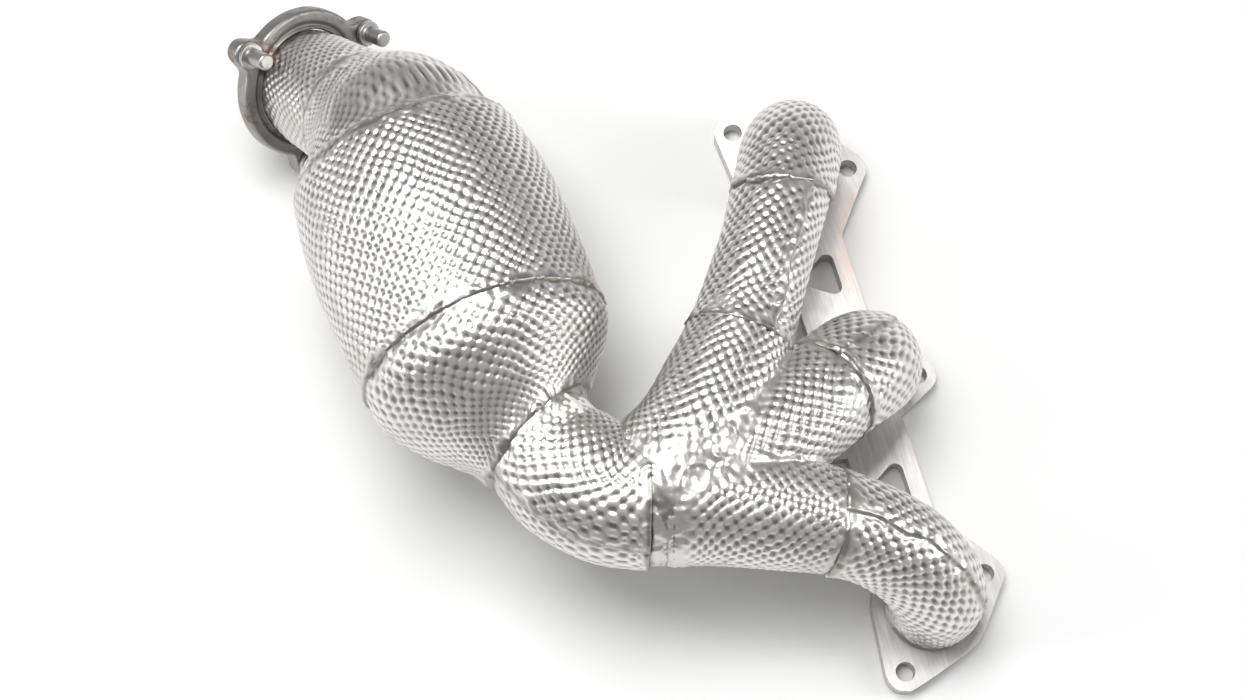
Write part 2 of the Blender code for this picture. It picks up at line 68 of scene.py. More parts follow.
# The foil, in metres.
STEP = 0.0008        # spacing of its mesh points
PITCH = 0.0044                                 # distance between its embossed rows
EMBOSS = 0.00085                               # height of the embossing
CRUMPLE = 0.0009                               # height of the folds where it is crushed
SAG = 0.0003                                   # how far it strays from a true tube
WOBBLE = 0.00055                               # how far its rows stray from straight
EDGE_FLAT = 0.0045                             # width of the flattened band beside a seam
SEAM_DARK = 0.8                                # how much darker its tone is along a seam, for dirt and painted shade in the folds
SEAM_WIDTH = 0.0026                            # width over which that darkness fades
RAGGED = 0.0014                                # how far a flattened band's edge wanders
RAGGED_SIZE = 0.018                            # and over what distance

# Where two panels meet, one laps the other. In metres, with slopes as (where they start, where they end).
LAP = 0.0012                                   # how far a lapped end goes past the seam
OVERLAP = 0.0030                               # how far the other end runs under it
LIP_RISE = 0.0007                              # how far the lapped edge stands proud
LIP_SLOPE = (0.001, 0.010)
TUCK_SLOPE = (0.0, 0.003)
LAP_HEM = 0.0018                               # how far the cut edge of a lapped end turns in
TUCK_HEM = 0.0006                              # and that of the other end

# The lengthwise seam of a panel.
FOLD_RISE = 0.0009
FOLD_STEP = (-0.0009, -0.0002)
FOLD_SLOPE = (0.002, 0.010)
FOLD_FLAT = (0.0015, 0.0040)
FOLD_WANDER = 0.0010                           # how far it strays from straight
FOLD_WANDER_SIZE = 0.020                       # and over what distance

# The three collector legs.
LEG_STATIONS = 90                              # places along a leg where it is measured
LEG_RINGS = 60
LEG_SIDES = 64
LEG_SPARE = 0.003                              # how far its mesh goes past each end
LEG_RAGGED = 0.0012
VALLEY = (0.0005, 0.0045)                      # between two legs, the foil is crushed
LEG_VOXEL = 0.0010
LEG_SMOOTHING = 20

# The outlet flange and its bolts, in metres.
RING_R = 0.0380
RING_BORE_R = 0.0277
RING_THICK = 0.0090
RING_ROUNDING = 0.0022
RING_STEPS = 240
LOBE_R = 0.0075
LOBE_BLENDS = 6                                # rounds of smoothing where a lobe meets the ring
BOLT_R = 0.0042
BOLT_COLLAR_R = BOLT_R + 0.0022
BOLT_TAIL = 0.0150
BOLT_ROUNDING = 0.0004
BOLT_STEPS = 48

LEG_MEET = (-122, -48, 88)                     # where the three collector legs become one

# Centrelines of the wrapped tubes, as the CAD has them: x, y, z and outer radius in millimetres.
RUNNERS = {
    1: [(0, 118, 13, 20.8), (0, 118, 25, 22.5), (-1, 116, 40, 23.5), (-9, 102, 60, 24),
        (-16, 89, 67.5, 23.5), (-24, 75, 74, 23), (-41, 46, 82, 22.5), (-56, 22, 85, 23.5)],
    2: [(0, 0, 13, 20.8), (0, 0, 25, 23.5), (0, -3, 42, 25.5), (-8, -9, 61, 26.5), (-28, -19, 75, 25.5)],
    3: [(0, -118, 13, 20.4), (0, -118, 25, 21.5), (-2, -115, 42, 22.5), (-13, -102, 64, 23),
        (-28, -90, 76, 23), (-44, -81, 83, 23.5)],
}
LEGS = {
    1: [(-76, -8, 89, 28), (-98, -34, 90, 32), (*LEG_MEET, 33)],
    2: [(-52, -30, 83, 27), (-84, -40, 88, 29.5), (*LEG_MEET, 32.3)],
    3: [(-70, -69, 87, 26.5), (-96, -56, 88, 30.5), (*LEG_MEET, 31.6)],
}
BEND = [(*LEG_MEET, 33), (-138, -43, 88, 31.5), (-154, -28, 88, 31), (-166, -5, 87, 31)]
INLET = [(-170, 8, 86, 43), (-174, 26, 85, 56.5), (-177, 46, 85, 59)]
BODY_WAY = (-0.139, 0.990, 0.0)
BODY = [(20, 60.6), (40, 61.2), (60, 60.6), (78, 58.5), (92, 55), (101, 50.5), (107, 46)]
OUTLET_CONE = [(-198, 164, 78.7, 37.8)]
NECK = [(-204, 176, 72.5, 31.5), (-212, 189, 62.5, 29.8), (-225, 211, 46, 28)]
ELBOW_POINTS = 5                               # of runner 1's points, how many its elbow panel covers

# How each seam leans along its tube: all of it, its top, its right side, in millimetres.
LEVEL = (0.0, 0.0, 0.0)
ELBOW_LEAN = (8.0, 11.0, 0.0)
RUNNER_LEANS = {1: (12.0, 0.0, 0.0), 2: (2.0, 0.0, 3.0), 3: (0.0, 0.0, -3.0)}
LINE_LEANS = [LEVEL, (-3.0, 0.0, 5.0), (-8.0, 8.0, 0.0), (-10.0, 0.0, 0.0), LEVEL, LEVEL]

# Where each panel's lengthwise seam lies round its tube, in radians, and whether each end laps its
# neighbour.
SEAMS = {"elbow": 2.6, "runner_1": -2.7, "runner_2": -2.4, "runner_3": 2.5}
LINE_PANELS = {"bend": ((True, False), -2.6), "inlet_cone": ((True, False), 2.9),
               "body": ((True, True), 0.5), "outlet_cone": ((False, True), -0.3),
               "neck": ((False, False), 2.5)}

# Panels with a finer pattern, and mean radii in millimetres, which set how many points go round.
PITCH_SCALES = {"outlet_cone_foil": 0.78, "neck_foil": 0.86}
RUNNER_RADIUS = 26.0
MEAN_RADII = {"body_foil": 60.0, "inlet_cone_foil": 56.0, "outlet_cone_foil": 44.0,
              "bend_foil": 32.0, "neck_foil": 31.0}


# ---------------------------------------------------------------- small maths

def unit(v):
    """Rows of v scaled to length 1."""
    v = np.asarray(v, float)
    return v / np.linalg.norm(v, axis=-1, keepdims=True)


def smoothstep(low, high, x):
    """0 up to low, rising smoothly to 1 at high."""
    t = np.clip((x - low) / (high - low), 0.0, 1.0)
    return t * t * (3.0 - 2.0 * t)


def fade(low, high, x):
    """1 up to low, falling smoothly to 0 at high."""
    return 1.0 - smoothstep(low, high, x)


def wrapped(turns):
    """Angles brought between -pi and pi."""
    return np.arctan2(np.sin(turns), np.cos(turns))


def waves(points, size, seed, count=9):
    """Smooth seeded noise of about unit height at points, with features of about size."""
    random = np.random.default_rng(seed)
    total = np.zeros(points.shape[:-1])
    for _ in range(count):
        way = unit(random.normal(size=3)) * 2.0 * math.pi / (size * random.uniform(0.7, 1.5))
        total += np.sin(points @ way + random.uniform(0.0, 2.0 * math.pi))
    return total / math.sqrt(count)


def creases(points, size, seed):
    """Sharp folded ridges and valleys, as in crumpled foil, from 0 to about 1."""
    bent = points + 0.25 * size * np.stack([waves(points, size, seed + k) for k in (1, 2, 3)], -1)
    return np.clip(1.0 - np.abs(waves(bent, size * 1.6, seed, 6)) * 1.6, 0.0, 1.0)


# ---------------------------------------------------------------- routes of the wrapped tubes

class Route:
    """A smooth centreline through a few points, with a radius, and side vectors that don't twist."""

    def __init__(self, points, start_way=None):
        """points are (x, y, z, radius) in millimetres. start_way is the direction that it sets off in."""
        points = np.array(points) * 0.001
        centres, radii = points[:, :3], points[:, 3]
        steps = np.linalg.norm(np.diff(centres, axis=0), axis=1)
        along = np.concatenate([[0.0], np.cumsum(steps)])
        self.length = along[-1]
        slopes = np.gradient(centres, along, axis=0)
        if start_way is not None:
            slopes[0] = unit(start_way)
        self.along, self.centres, self.radii, self.slopes = along, centres, radii, slopes
        self.radius_slopes = np.gradient(radii, along)
        self.set_frames()

    def cubic(self, s, values, slopes):
        """Cubic interpolation, carried on straight past both ends."""
        i = np.clip(np.searchsorted(self.along, s) - 1, 0, len(self.along) - 2)
        width = self.along[i + 1] - self.along[i]
        t = np.clip((s - self.along[i]) / width, 0.0, 1.0)
        past = s - np.clip(s, 0.0, self.length)
        if values.ndim == 2:
            width, t, past = width[:, None], t[:, None], past[:, None]
        a, b = values[i], values[i + 1]
        u, v = slopes[i] * width, slopes[i + 1] * width
        cube = (2 * t**3 - 3 * t**2 + 1) * a + (t**3 - 2 * t**2 + t) * u
        return cube + (3 * t**2 - 2 * t**3) * b + (t**3 - t**2) * v + past * np.where(
            past < 0, slopes[0], slopes[-1])

    def at(self, s):
        """Centres, radii and directions at distances s along the route."""
        s = np.asarray(s, float)
        small = 0.0005
        ways = unit(self.cubic(s + small, self.centres, self.slopes)
                    - self.cubic(s - small, self.centres, self.slopes))
        return (self.cubic(s, self.centres, self.slopes),
                self.cubic(s, self.radii, self.radius_slopes), ways)

    def set_frames(self):
        """Keeps side vectors along the route: the side starts as level as it can be and doesn't twist."""
        stations, steep = 200, 0.3
        self.frame_at = np.linspace(0.0, self.length, stations)
        ways = self.at(self.frame_at)[2]
        side = np.cross(ways[0], (0.0, 0.0, 1.0))
        if np.linalg.norm(side) < steep:
            side = np.cross(ways[0], (0.0, 1.0, 0.0))
        sides = []
        for way in ways:
            side = unit(side - way * np.dot(side, way))
            sides.append(side)
        self.sides = np.array(sides)

    def side(self, s):
        """Side vectors at distances s along the route."""
        picked = np.stack([np.interp(s, self.frame_at, self.sides[:, k]) for k in range(3)], -1)
        ways = self.at(s)[2]
        return unit(picked - ways * np.sum(picked * ways, -1, keepdims=True))


# ---------------------------------------------------------------- meshes

def placed(name, mesh, material, nodes):
    """An object for a mesh, with its material, body and the CAD nodes that it stands for."""
    item = bpy.data.objects.new(name, mesh)
    bpy.context.scene.collection.objects.link(item)
    mesh.materials.clear()
    mesh.materials.append(material)
    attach(item, "root")
    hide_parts(*nodes)
    return item


def piece_from(name, points, faces, material, nodes):
    """A smooth piece made of points and quads."""
    mesh = bpy.data.meshes.new(name)
    mesh.vertices.add(len(points))
    mesh.vertices.foreach_set("co", np.asarray(points, np.float32).ravel())
    faces = np.asarray(faces, np.int32)
    mesh.loops.add(faces.size)
    mesh.loops.foreach_set("vertex_index", faces.ravel())
    mesh.polygons.add(len(faces))
    mesh.polygons.foreach_set("loop_start", np.arange(0, faces.size, faces.shape[1], dtype=np.int32))
    mesh.update(calc_edges=True)
    mesh.validate()
    mesh.shade_smooth()
    return placed(name, mesh, material, nodes)


def store_tone(item, tone):
    """Keeps the foil's tone at each point, its painted shade, for its material to read."""
    attribute = item.data.attributes.new("painted_shade", "FLOAT", "POINT")
    attribute.data.foreach_set("value", np.asarray(tone, np.float32).ravel())


def vector_of(mesh, name):
    """A vector of each of a mesh's points, as rows."""
    values = np.zeros(len(mesh.vertices) * 3)
    mesh.vertices.foreach_get(name, values)
    return values.reshape(-1, 3)


def tube_faces(rows, columns):
    """Quads of a grid of rings, closed around and open along, facing out."""
    i, j = np.meshgrid(np.arange(rows - 1), np.arange(columns), indexing="ij")
    k = (j + 1) % columns
    a, b = i * columns + j, i * columns + k
    return np.stack([a, b, b + columns, a + columns], -1).reshape(-1, 4)


# ---------------------------------------------------------------- embossed foil

def lattice(along, around, room):
    """Height of the embossing from 0 in the grooves to 1 on the plateaus.
    The rows of plateaus run at 45 degrees to the tube, so each row is staggered against the next."""
    wobble_size = 0.016
    along = along + WOBBLE * waves(room, wobble_size, 5)
    around = around + WOBBLE * waves(room, wobble_size, 6)
    turn = 2.0 * math.pi / PITCH / math.sqrt(2.0)
    bumps = 0.5 + 0.25 * (np.cos(turn * (along + around)) + np.cos(turn * (along - around)))
    groove, plateau = 0.10, 0.80
    return smoothstep(groove, plateau, bumps)


def foil_height(room, along, around, calm):
    """Height and tone of a foil at points room. calm is 1 where the foil is pressed flat, and here and
    there it is crushed elsewhere too."""
    bumps = lattice(along, around, room)
    patchy = 0.90 + 0.10 * waves(room, 0.030, 11)
    crushed = np.clip(calm + 0.6 * smoothstep(1.5, 2.2, waves(room, 0.050, 12)), 0.0, 1.0)
    embossed = EMBOSS * bumps * patchy * (1.0 - 0.85 * crushed)
    wrinkled = 0.00016 * crushed * waves(room, 0.005, 31)
    crumpled = CRUMPLE * crushed * creases(room, 0.013, 21) + wrinkled
    sag = SAG * waves(room, 0.050, 41)
    # the tone is painted shade: lowest in the grooves, middling where the foil is crushed
    return embossed + crumpled + sag, bumps * (1.0 - crushed) + 0.55 * crushed


def around_tube(turns, mean, scale=1.0):
    """Distances round a tube, stretched a little so that a whole number of rows goes round."""
    count = round(2.0 * math.pi * mean / (PITCH * scale * math.sqrt(2.0)))
    return turns * count * PITCH * math.sqrt(2.0) / (2.0 * math.pi)


def darkened(tone, *distances):
    """tone made darker along seams, for dirt and for painted shade in the folds. distances are metres
    from each seam.
    """
    nearest = np.maximum(np.minimum.reduce(distances), 0.0)
    return tone * (1.0 - SEAM_DARK * fade(0.0, SEAM_WIDTH, nearest))


def leaned(place, lean, turns):
    """Where a seam lies along a route at each turn. lean is how far all of it, its top and its right
    side are moved along, in millimetres."""
    shift, top, side = lean
    return place + 0.001 * (shift - top * np.sin(turns) + side * np.cos(turns))


def panel_grid(route, starts, stops, turns):
    """A panel's grid, with a row for each step along it: distances along the route, points of the plain
    tube and outward directions."""
    rows = int(np.max(stops - starts) / STEP)
    s = starts + (stops - starts) * np.linspace(0.0, 1.0, rows)[:, None]
    centres, radii, ways = (v.reshape(rows, len(turns), -1) for v in route.at(s.ravel()))
    sides = route.side(s.ravel()).reshape(rows, len(turns), 3)
    rises = np.cross(ways, sides)
    outward = sides * np.cos(turns)[None, :, None] + rises * np.sin(turns)[None, :, None]
    return s, centres + outward * radii, outward


def panel_pattern(name, route, starts, stops, s, room, turns):
    """Where each of a panel's points lies in the pattern, along and around, and the mean radius.
    Conformal distances keep the plateaus round where the radius changes."""
    ruler = np.arange(np.min(starts), np.max(stops) + STEP, STEP)
    radii = route.at(ruler)[1]
    mean = float(np.mean(radii))
    slant = np.sqrt(1.0 + np.gradient(radii, ruler) ** 2)
    along = np.interp(s, ruler, np.cumsum(mean / radii * slant) * STEP)
    if name == "outlet_cone_foil":
        # Its sections lean, so each line along it is measured on the surface.
        steps = np.linalg.norm(np.diff(room, axis=0), axis=2)
        along = starts + np.concatenate([np.zeros((1, len(turns))), np.cumsum(steps, axis=0)])
    scale = PITCH_SCALES.get(name, 1.0)
    return along / scale, around_tube(turns, mean, scale) + np.zeros_like(s), mean


def panel(name, route, span, nodes, laps, seam_turn, leans):
    """One wrapped foil panel on a span of a route. A lapped end stands proud of its neighbour, the
    other kind runs under it. seam_turn is where the lengthwise seam lies, as an angle round the tube."""
    columns = int(2.0 * math.pi * 0.001 * MEAN_RADII.get(name, RUNNER_RADIUS) / STEP)
    turns = 2.0 * math.pi * np.arange(columns) / columns
    first_seam, last_seam = (leaned(place, lean, turns) for place, lean in zip(span, leans))
    starts = first_seam - (LAP if laps[0] else OVERLAP)
    stops = last_seam + (LAP if laps[1] else OVERLAP)
    s, room, outward = panel_grid(route, starts, stops, turns)
    along, around, mean = panel_pattern(name, route, starts, stops, s, room, turns)

    # Distances from the three seams, and how flat the foil is pressed beside them.
    ragged = RAGGED * waves(room, RAGGED_SIZE, 51)
    from_start = s - first_seam + ragged
    from_end = last_seam - s + ragged
    off = wrapped(turns - seam_turn) * mean + FOLD_WANDER * waves(room, FOLD_WANDER_SIZE, 61)
    calm = np.maximum(fade(0.3 * EDGE_FLAT, 1.3 * EDGE_FLAT, np.minimum(from_start, from_end)),
                      fade(*FOLD_FLAT, np.abs(off)))

    rise = FOLD_RISE * smoothstep(*FOLD_STEP, off) * fade(*FOLD_SLOPE, off)
    for lapped, distance in zip(laps, (from_start, from_end)):
        if lapped:
            rise += LIP_RISE * fade(*LIP_SLOPE, distance)
        else:
            rise -= LIP_RISE * fade(*TUCK_SLOPE, distance)
    height, tone = foil_height(room, along, around, calm)
    tone = darkened(tone, from_start, from_end, np.abs(off))
    points = room + outward * (height + rise)[:, :, None]
    # The cut edges turn in, so the sheet's thickness shows at each end; the end rows take the darkest
    # tone, painted shade in the turn.
    for row, lapped in zip((0, -1), laps):
        points[row] -= outward[row] * (LAP_HEM if lapped else TUCK_HEM)
        tone[row] = 0.0
    item = piece_from(name, points.reshape(-1, 3), tube_faces(*s.shape), MATERIALS["foil"],
                      nodes)
    store_tone(item, tone)


def legs_mesh(routes):
    """The legs joined into one closed skin."""
    joined = bmesh.new()
    for index, route in routes.items():
        start = route.along[len(RUNNERS[index]) - 1]
        s = np.linspace(start - LEG_SPARE, route.length + LEG_SPARE, LEG_RINGS)
        centres, radii, ways = route.at(s)
        sides = route.side(s)
        rises = np.cross(ways, sides)
        rings = []
        for centre, radius, side, rise in zip(centres, radii, sides, rises):
            ring = []
            for k in range(LEG_SIDES):
                turn = 2.0 * math.pi * k / LEG_SIDES
                outward = side * math.cos(turn) + rise * math.sin(turn)
                ring.append(joined.verts.new(centre + outward * radius))
            rings.append(ring)
        for low, high in zip(rings, rings[1:]):
            for k in range(LEG_SIDES):
                n = (k + 1) % LEG_SIDES
                joined.faces.new((low[k], low[n], high[n], high[k]))
        joined.faces.new(rings[0][::-1])
        joined.faces.new(rings[-1])
    mesh = bpy.data.meshes.new("legs")
    joined.to_mesh(mesh)
    joined.free()
    item = bpy.data.objects.new("legs", mesh)
    bpy.context.scene.collection.objects.link(item)
    remesh = item.modifiers.new("skin", "REMESH")
    remesh.mode = "VOXEL"
    remesh.voxel_size = LEG_VOXEL
    item.modifiers.new("smooth", "SMOOTH").iterations = LEG_SMOOTHING
    bpy.context.view_layer.update()
    made = bpy.data.meshes.new_from_object(item.evaluated_get(bpy.context.evaluated_depsgraph_get()))
    bpy.data.objects.remove(item)
    return made


def leg_measures(index, route, room):
    """How far each point is from a leg's surface, its place in the pattern, along and around, and its
    distances from the leg's start and end."""
    begin = route.along[len(RUNNERS[index]) - 1]
    s = np.linspace(begin, route.length, LEG_STATIONS)
    centres, radii, ways = route.at(s)
    sides = route.side(s)
    nearest = np.zeros(len(room), int)
    best = np.full(len(room), np.inf)
    for k, centre in enumerate(centres):
        distance = np.linalg.norm(room - centre, axis=1)
        closer = distance < best
        best[closer] = distance[closer]
        nearest[closer] = k
    mean = float(np.mean(radii))
    offset = room - centres[nearest]
    rises = np.cross(ways, sides)[nearest]
    turn = np.arctan2(np.sum(offset * rises, 1), np.sum(offset * sides[nearest], 1))
    past = np.sum(offset * ways[nearest], 1)
    conformal = np.concatenate([[0.0], np.cumsum(mean / radii[1:] * np.diff(s))])
    along = conformal[nearest] + past * mean / radii[nearest]
    from_start = s[nearest] + past - begin
    return (np.abs(best - radii[nearest]), along, around_tube(turn, mean), from_start,
            route.length - begin - from_start)


def build_collector_foil(routes):
    """The wrap over the three legs: each point takes the embossing of the leg that it lies on."""
    mesh = legs_mesh(routes)
    mesh.name = "collector_foil"
    room = vector_of(mesh, "co")
    normals = vector_of(mesh, "normal")
    measures = np.array([leg_measures(index, route, room) for index, route in routes.items()])
    gaps = measures[:, 0]
    leg = np.argmin(gaps, 0)
    along, around, from_start, from_end = (measures[leg, k, np.arange(len(room))] for k in (1, 2, 3, 4))
    from_start = from_start + LEG_RAGGED * waves(room, RAGGED_SIZE, 52)
    from_end = from_end + LEG_RAGGED * waves(room, RAGGED_SIZE, 53)
    end = np.minimum(from_start, from_end)
    nearer, farther = np.sort(gaps, 0)[:2]
    calm = np.maximum(fade(*VALLEY, farther - nearer), fade(0.4 * EDGE_FLAT, 1.4 * EDGE_FLAT, end))
    height, tone = foil_height(room, along, around, calm)
    height -= LIP_RISE * fade(*TUCK_SLOPE, end)
    mesh.vertices.foreach_set("co", (room + normals * height[:, None]).ravel())
    mesh.update()
    mesh.shade_smooth()
    item = placed("collector_foil", mesh, MATERIALS["foil"], ["foil_collector"])
    store_tone(item, darkened(tone, end))


def build_foil():
    """Every foil panel: the runners, the collector, and the line from the bend to the outlet."""
    routes = {index: Route(points + LEGS[index], (0.0, 0.0, 1.0)) for index, points in RUNNERS.items()}
    for index, route in routes.items():
        start, end, lean = 0.0, route.along[len(RUNNERS[index]) - 1], LEVEL
        if index == 1:
            start, lean = route.along[ELBOW_POINTS - 1], ELBOW_LEAN
            panel("runner_1_elbow_foil", route, (0.0, start), ["foil_runner_1_elbow"], (True, True),
                  SEAMS["elbow"], (LEVEL, ELBOW_LEAN))
        panel("runner_%d_foil" % index, route, (start, end), ["foil_runner_%d" % index],
              (index != 1, True), SEAMS["runner_%d" % index], (lean, RUNNER_LEANS[index]))
    build_collector_foil(routes)
    body = [tuple(np.array(INLET[-1][:3]) + np.array(BODY_WAY) * along) + (radius,)
            for along, radius in BODY]
    route = Route(BEND + INLET + body + OUTLET_CONE + NECK)
    last_points = np.cumsum([len(BEND), len(INLET), len(body), len(OUTLET_CONE) + 1, len(NECK) - 1]) - 1
    stations = [0.0] + list(route.along[last_points])
    for k, (name, (laps, seam_turn)) in enumerate(LINE_PANELS.items()):
        panel(name + "_foil", route, stations[k:k + 2], ["foil_" + name], laps, seam_turn,
              LINE_LEANS[k:k + 2])


# ---------------------------------------------------------------- outlet flange and bolts

def face_out(item):
    """Makes every face of a closed piece face out."""
    work = bmesh.new()
    work.from_mesh(item.data)
    bmesh.ops.recalc_face_normals(work, faces=work.faces)
    work.to_mesh(item.data)
    work.free()
    item.data.shade_smooth()


def rounded(corners, cut):
    """A profile whose inner corners are rounded by curves of size cut."""
    pieces = 5
    made = [corners[0]]
    for before, here, after in zip(corners, corners[1:], corners[2:]):
        a, b, c = np.array(before), np.array(here), np.array(after)
        size = min(cut, np.linalg.norm(a - b) / 2.1, np.linalg.norm(c - b) / 2.1)
        start, end = b + unit(a - b) * size, b + unit(c - b) * size
        for k in range(pieces + 1):
            t = k / pieces
            made.append(tuple((1 - t) ** 2 * start + 2 * t * (1 - t) * b + t * t * end))
    made.append(corners[-1])
    return made


def outlet_place():
    """The outlet flange's middle, its three directions, and the bolts' offsets from the middle."""
    record = frame["record"]
    mouth = [opening for opening in record["physics"]["openings"] if opening["name"] == "outlet_mouth"][0]
    face = [mount for mount in record["mounts"] if mount["name"] == "outlet_face"][0]
    centre = (Vector(mouth["box_m"][0]) + Vector(mouth["box_m"][1])) / 2
    way = Vector(face["axis"]).normalized()
    side = way.cross(Vector((0.0, 0.0, 1.0))).normalized()
    rise = way.cross(side)
    bolts = []
    for k in (1, 2, 3):
        offset = sum(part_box("outlet_bolt_%d" % k), Vector()) / 2 - centre
        bolts.append(offset - way * offset.dot(way))
    return centre, way, side, rise, bolts


def lobed_outline(turns, side, rise, bolts):
    """The outlet flange's outer radius at each turn: a ring with a lobe at each bolt."""
    circle = sum(bolt.length for bolt in bolts) / len(bolts)
    outline = np.full(len(turns), RING_R)
    for bolt in bolts:
        off = wrapped(turns - math.atan2(bolt.dot(rise), bolt.dot(side)))
        inside = np.clip(LOBE_R**2 - (circle * np.sin(off)) ** 2, 0.0, None)
        on_lobe = (np.abs(off) < 1.0) & (inside > 0)
        outline = np.maximum(outline, np.where(on_lobe, circle * np.cos(off) + np.sqrt(inside), 0.0))
    for _ in range(LOBE_BLENDS):
        outline = (np.roll(outline, 1) + outline * 2 + np.roll(outline, -1)) / 4
    return outline


def build_outlet_flange(centre, way, side, rise, bolts):
    """The outlet flange, pressed with a groove near its rim, where the CAD has it."""
    corner, face, groove = 0.0012, 0.0002, 0.0024
    groove_inner, groove_outer = RING_R - 0.0080, RING_R - 0.0060
    lobes_from, lobes_to = RING_R - 0.0075, RING_R - 0.0005
    turns = np.linspace(0.0, 2.0 * math.pi, RING_STEPS, endpoint=False)
    outline = lobed_outline(turns, side, rise, bolts)
    profile = rounded([(RING_BORE_R, RING_THICK), (RING_BORE_R, corner), (RING_BORE_R + corner, face),
                       (groove_inner, groove), (groove_outer, face), (RING_R, 0.0), (RING_R, RING_THICK),
                       (RING_BORE_R, RING_THICK)], RING_ROUNDING)
    points = []
    for radius, height in profile[::-1]:
        radii = radius + (outline - RING_R) * smoothstep(lobes_from, lobes_to, radius)
        for turn, r in zip(turns, radii):
            points.append(centre + way * height + (side * math.cos(turn) + rise * math.sin(turn)) * r)
    item = piece_from("outlet_flange_pressed", points, tube_faces(len(profile), RING_STEPS),
                      MATERIALS["rusty"], ["outlet_flange"])
    face_out(item)


def build_outlet_bolts(centre, way, bolts):
    """The turned outlet bolts: a plain stud with a collar behind the flange and a chamfered tail."""
    axis, stub, chamfer = 0.0001, RING_THICK + 0.0020, 0.0008
    collar, behind = -0.0003, -0.0030
    corners = [(axis, stub), (BOLT_R, stub), (BOLT_R, collar), (BOLT_COLLAR_R, collar),
               (BOLT_COLLAR_R, behind), (BOLT_R, behind), (BOLT_R - 0.0003, behind - 0.0004),
               (BOLT_R, behind - 0.0010), (BOLT_R, chamfer - BOLT_TAIL), (BOLT_R - chamfer, -BOLT_TAIL),
               (axis, -BOLT_TAIL)]
    profile = rounded(corners, BOLT_ROUNDING)
    side = way.orthogonal().normalized()
    rise = way.cross(side)
    for k, bolt in enumerate(bolts, 1):
        points = []
        for radius, height in profile:
            for step in range(BOLT_STEPS):
                turn = 2.0 * math.pi * step / BOLT_STEPS
                round_axis = side * math.cos(turn) + rise * math.sin(turn)
                points.append(centre + bolt + way * height + round_axis * radius)
        faces = tube_faces(len(profile), BOLT_STEPS)[:, ::-1]
        item = piece_from("outlet_bolt_%d_turned" % k, points, faces, MATERIALS["bolt"],
                          ["outlet_bolt_%d" % k])
        item.data.set_sharp_from_angle(angle=math.radians(50))


def build_outlet():
    """The pressed outlet flange and its bolts."""
    centre, way, side, rise, bolts = outlet_place()
    build_outlet_flange(centre, way, side, rise, bolts)
    build_outlet_bolts(centre, way, bolts)


# ---------------------------------------------------------------- materials

class Nodes:
    """A material's node tree, built a node at a time."""

    def __init__(self, name, metallic=1.0):
        self.material = bpy.data.materials.new(name)
        self.material.use_nodes = True
        self.tree = self.material.node_tree
        self.shader = self.tree.nodes["Principled BSDF"]
        self.shader.inputs["Metallic"].default_value = metallic
        self.place = self.add("ShaderNodeTexCoord").outputs["Object"]

    def add(self, kind, inputs=None, **settings):
        """A new node. An input is a value, or another node's socket to link to."""
        node = self.tree.nodes.new(kind)
        for name, value in settings.items():
            setattr(node, name, value)
        for name, value in (inputs or {}).items():
            if isinstance(value, bpy.types.NodeSocket):
                self.tree.links.new(value, node.inputs[name])
            else:
                node.inputs[name].default_value = value
        return node

    def noise(self, scale, detail=4.0, roughness=0.6):
        return self.add("ShaderNodeTexNoise", {"Vector": self.place, "Scale": scale, "Detail": detail,
                        "Roughness": roughness}).outputs["Fac"]

    def ramp(self, value, *stops):
        """A ramp of (position, colour) stops, where a single number stands for a grey."""
        node = self.add("ShaderNodeValToRGB", {"Fac": value})
        elements = node.color_ramp.elements
        while len(elements) < len(stops):
            elements.new(1.0)
        for element, (position, colour) in zip(elements, stops):
            element.position = position
            element.color = (*colour, 1.0) if hasattr(colour, "__len__") else (colour,) * 3 + (1.0,)
        return node.outputs["Color"]

    def mix(self, share, first, second):
        """A colour mix. Each argument is a value, a colour or a socket."""
        node = self.add("ShaderNodeMix", data_type="RGBA")
        for socket, value in ((node.inputs[0], share), (node.inputs[6], first), (node.inputs[7], second)):
            if isinstance(value, bpy.types.NodeSocket):
                self.tree.links.new(value, socket)
            elif hasattr(value, "__len__"):
                socket.default_value = (*value, 1.0)
            else:
                socket.default_value = value
        return node.outputs[2]

    def maths(self, operation, first, second):
        """Arithmetic on two numbers or sockets."""
        node = self.add("ShaderNodeMath", operation=operation)
        for socket, value in zip(node.inputs, (first, second)):
            if isinstance(value, bpy.types.NodeSocket):
                self.tree.links.new(value, socket)
            else:
                socket.default_value = value
        return node.outputs[0]

    def finish(self, colour, roughness, height, strength, distance):
        """Links the shader up, with fine bumps of the given height, and returns the material."""
        self.tree.links.new(colour, self.shader.inputs["Base Color"])
        self.tree.links.new(roughness, self.shader.inputs["Roughness"])
        bump = self.add("ShaderNodeBump", {"Strength": strength, "Distance": distance, "Height": height})
        self.tree.links.new(bump.outputs["Normal"], self.shader.inputs["Normal"])
        return self.material


def foil_material():
    """Bright steel foil, with painted shade dark in the grooves, seams darkened by dirt and painted
    shade, and stains and specks of dirt.
    """
    n = Nodes("embossed_foil")
    painted_shade = n.add("ShaderNodeAttribute", attribute_name="painted_shade").outputs["Fac"]
    # painted shade: the grooves are darkest, and the plateaus keep the foil's own bright colour
    bright = n.ramp(painted_shade, (0.0, (0.26, 0.25, 0.23)), (0.30, (0.56, 0.545, 0.52)),
                    (0.85, (0.86, 0.852, 0.838)))
    stain = n.ramp(n.noise(45.0, 6.0), (0.50, 0.0), (0.72, 0.55))
    colour = n.mix(stain, bright, (0.56, 0.52, 0.46))
    specks = n.ramp(n.noise(420.0, 3.0), (0.66, 0.0), (0.72, 0.8))
    colour = n.mix(specks, colour, (0.20, 0.17, 0.14))
    rough = n.ramp(n.noise(120.0, 5.0), (0.3, 0.26), (0.7, 0.42))
    rough = n.mix(stain, rough, (0.46, 0.46, 0.46))
    return n.finish(colour, rough, n.noise(900.0, 4.0), 0.25, 0.0003)


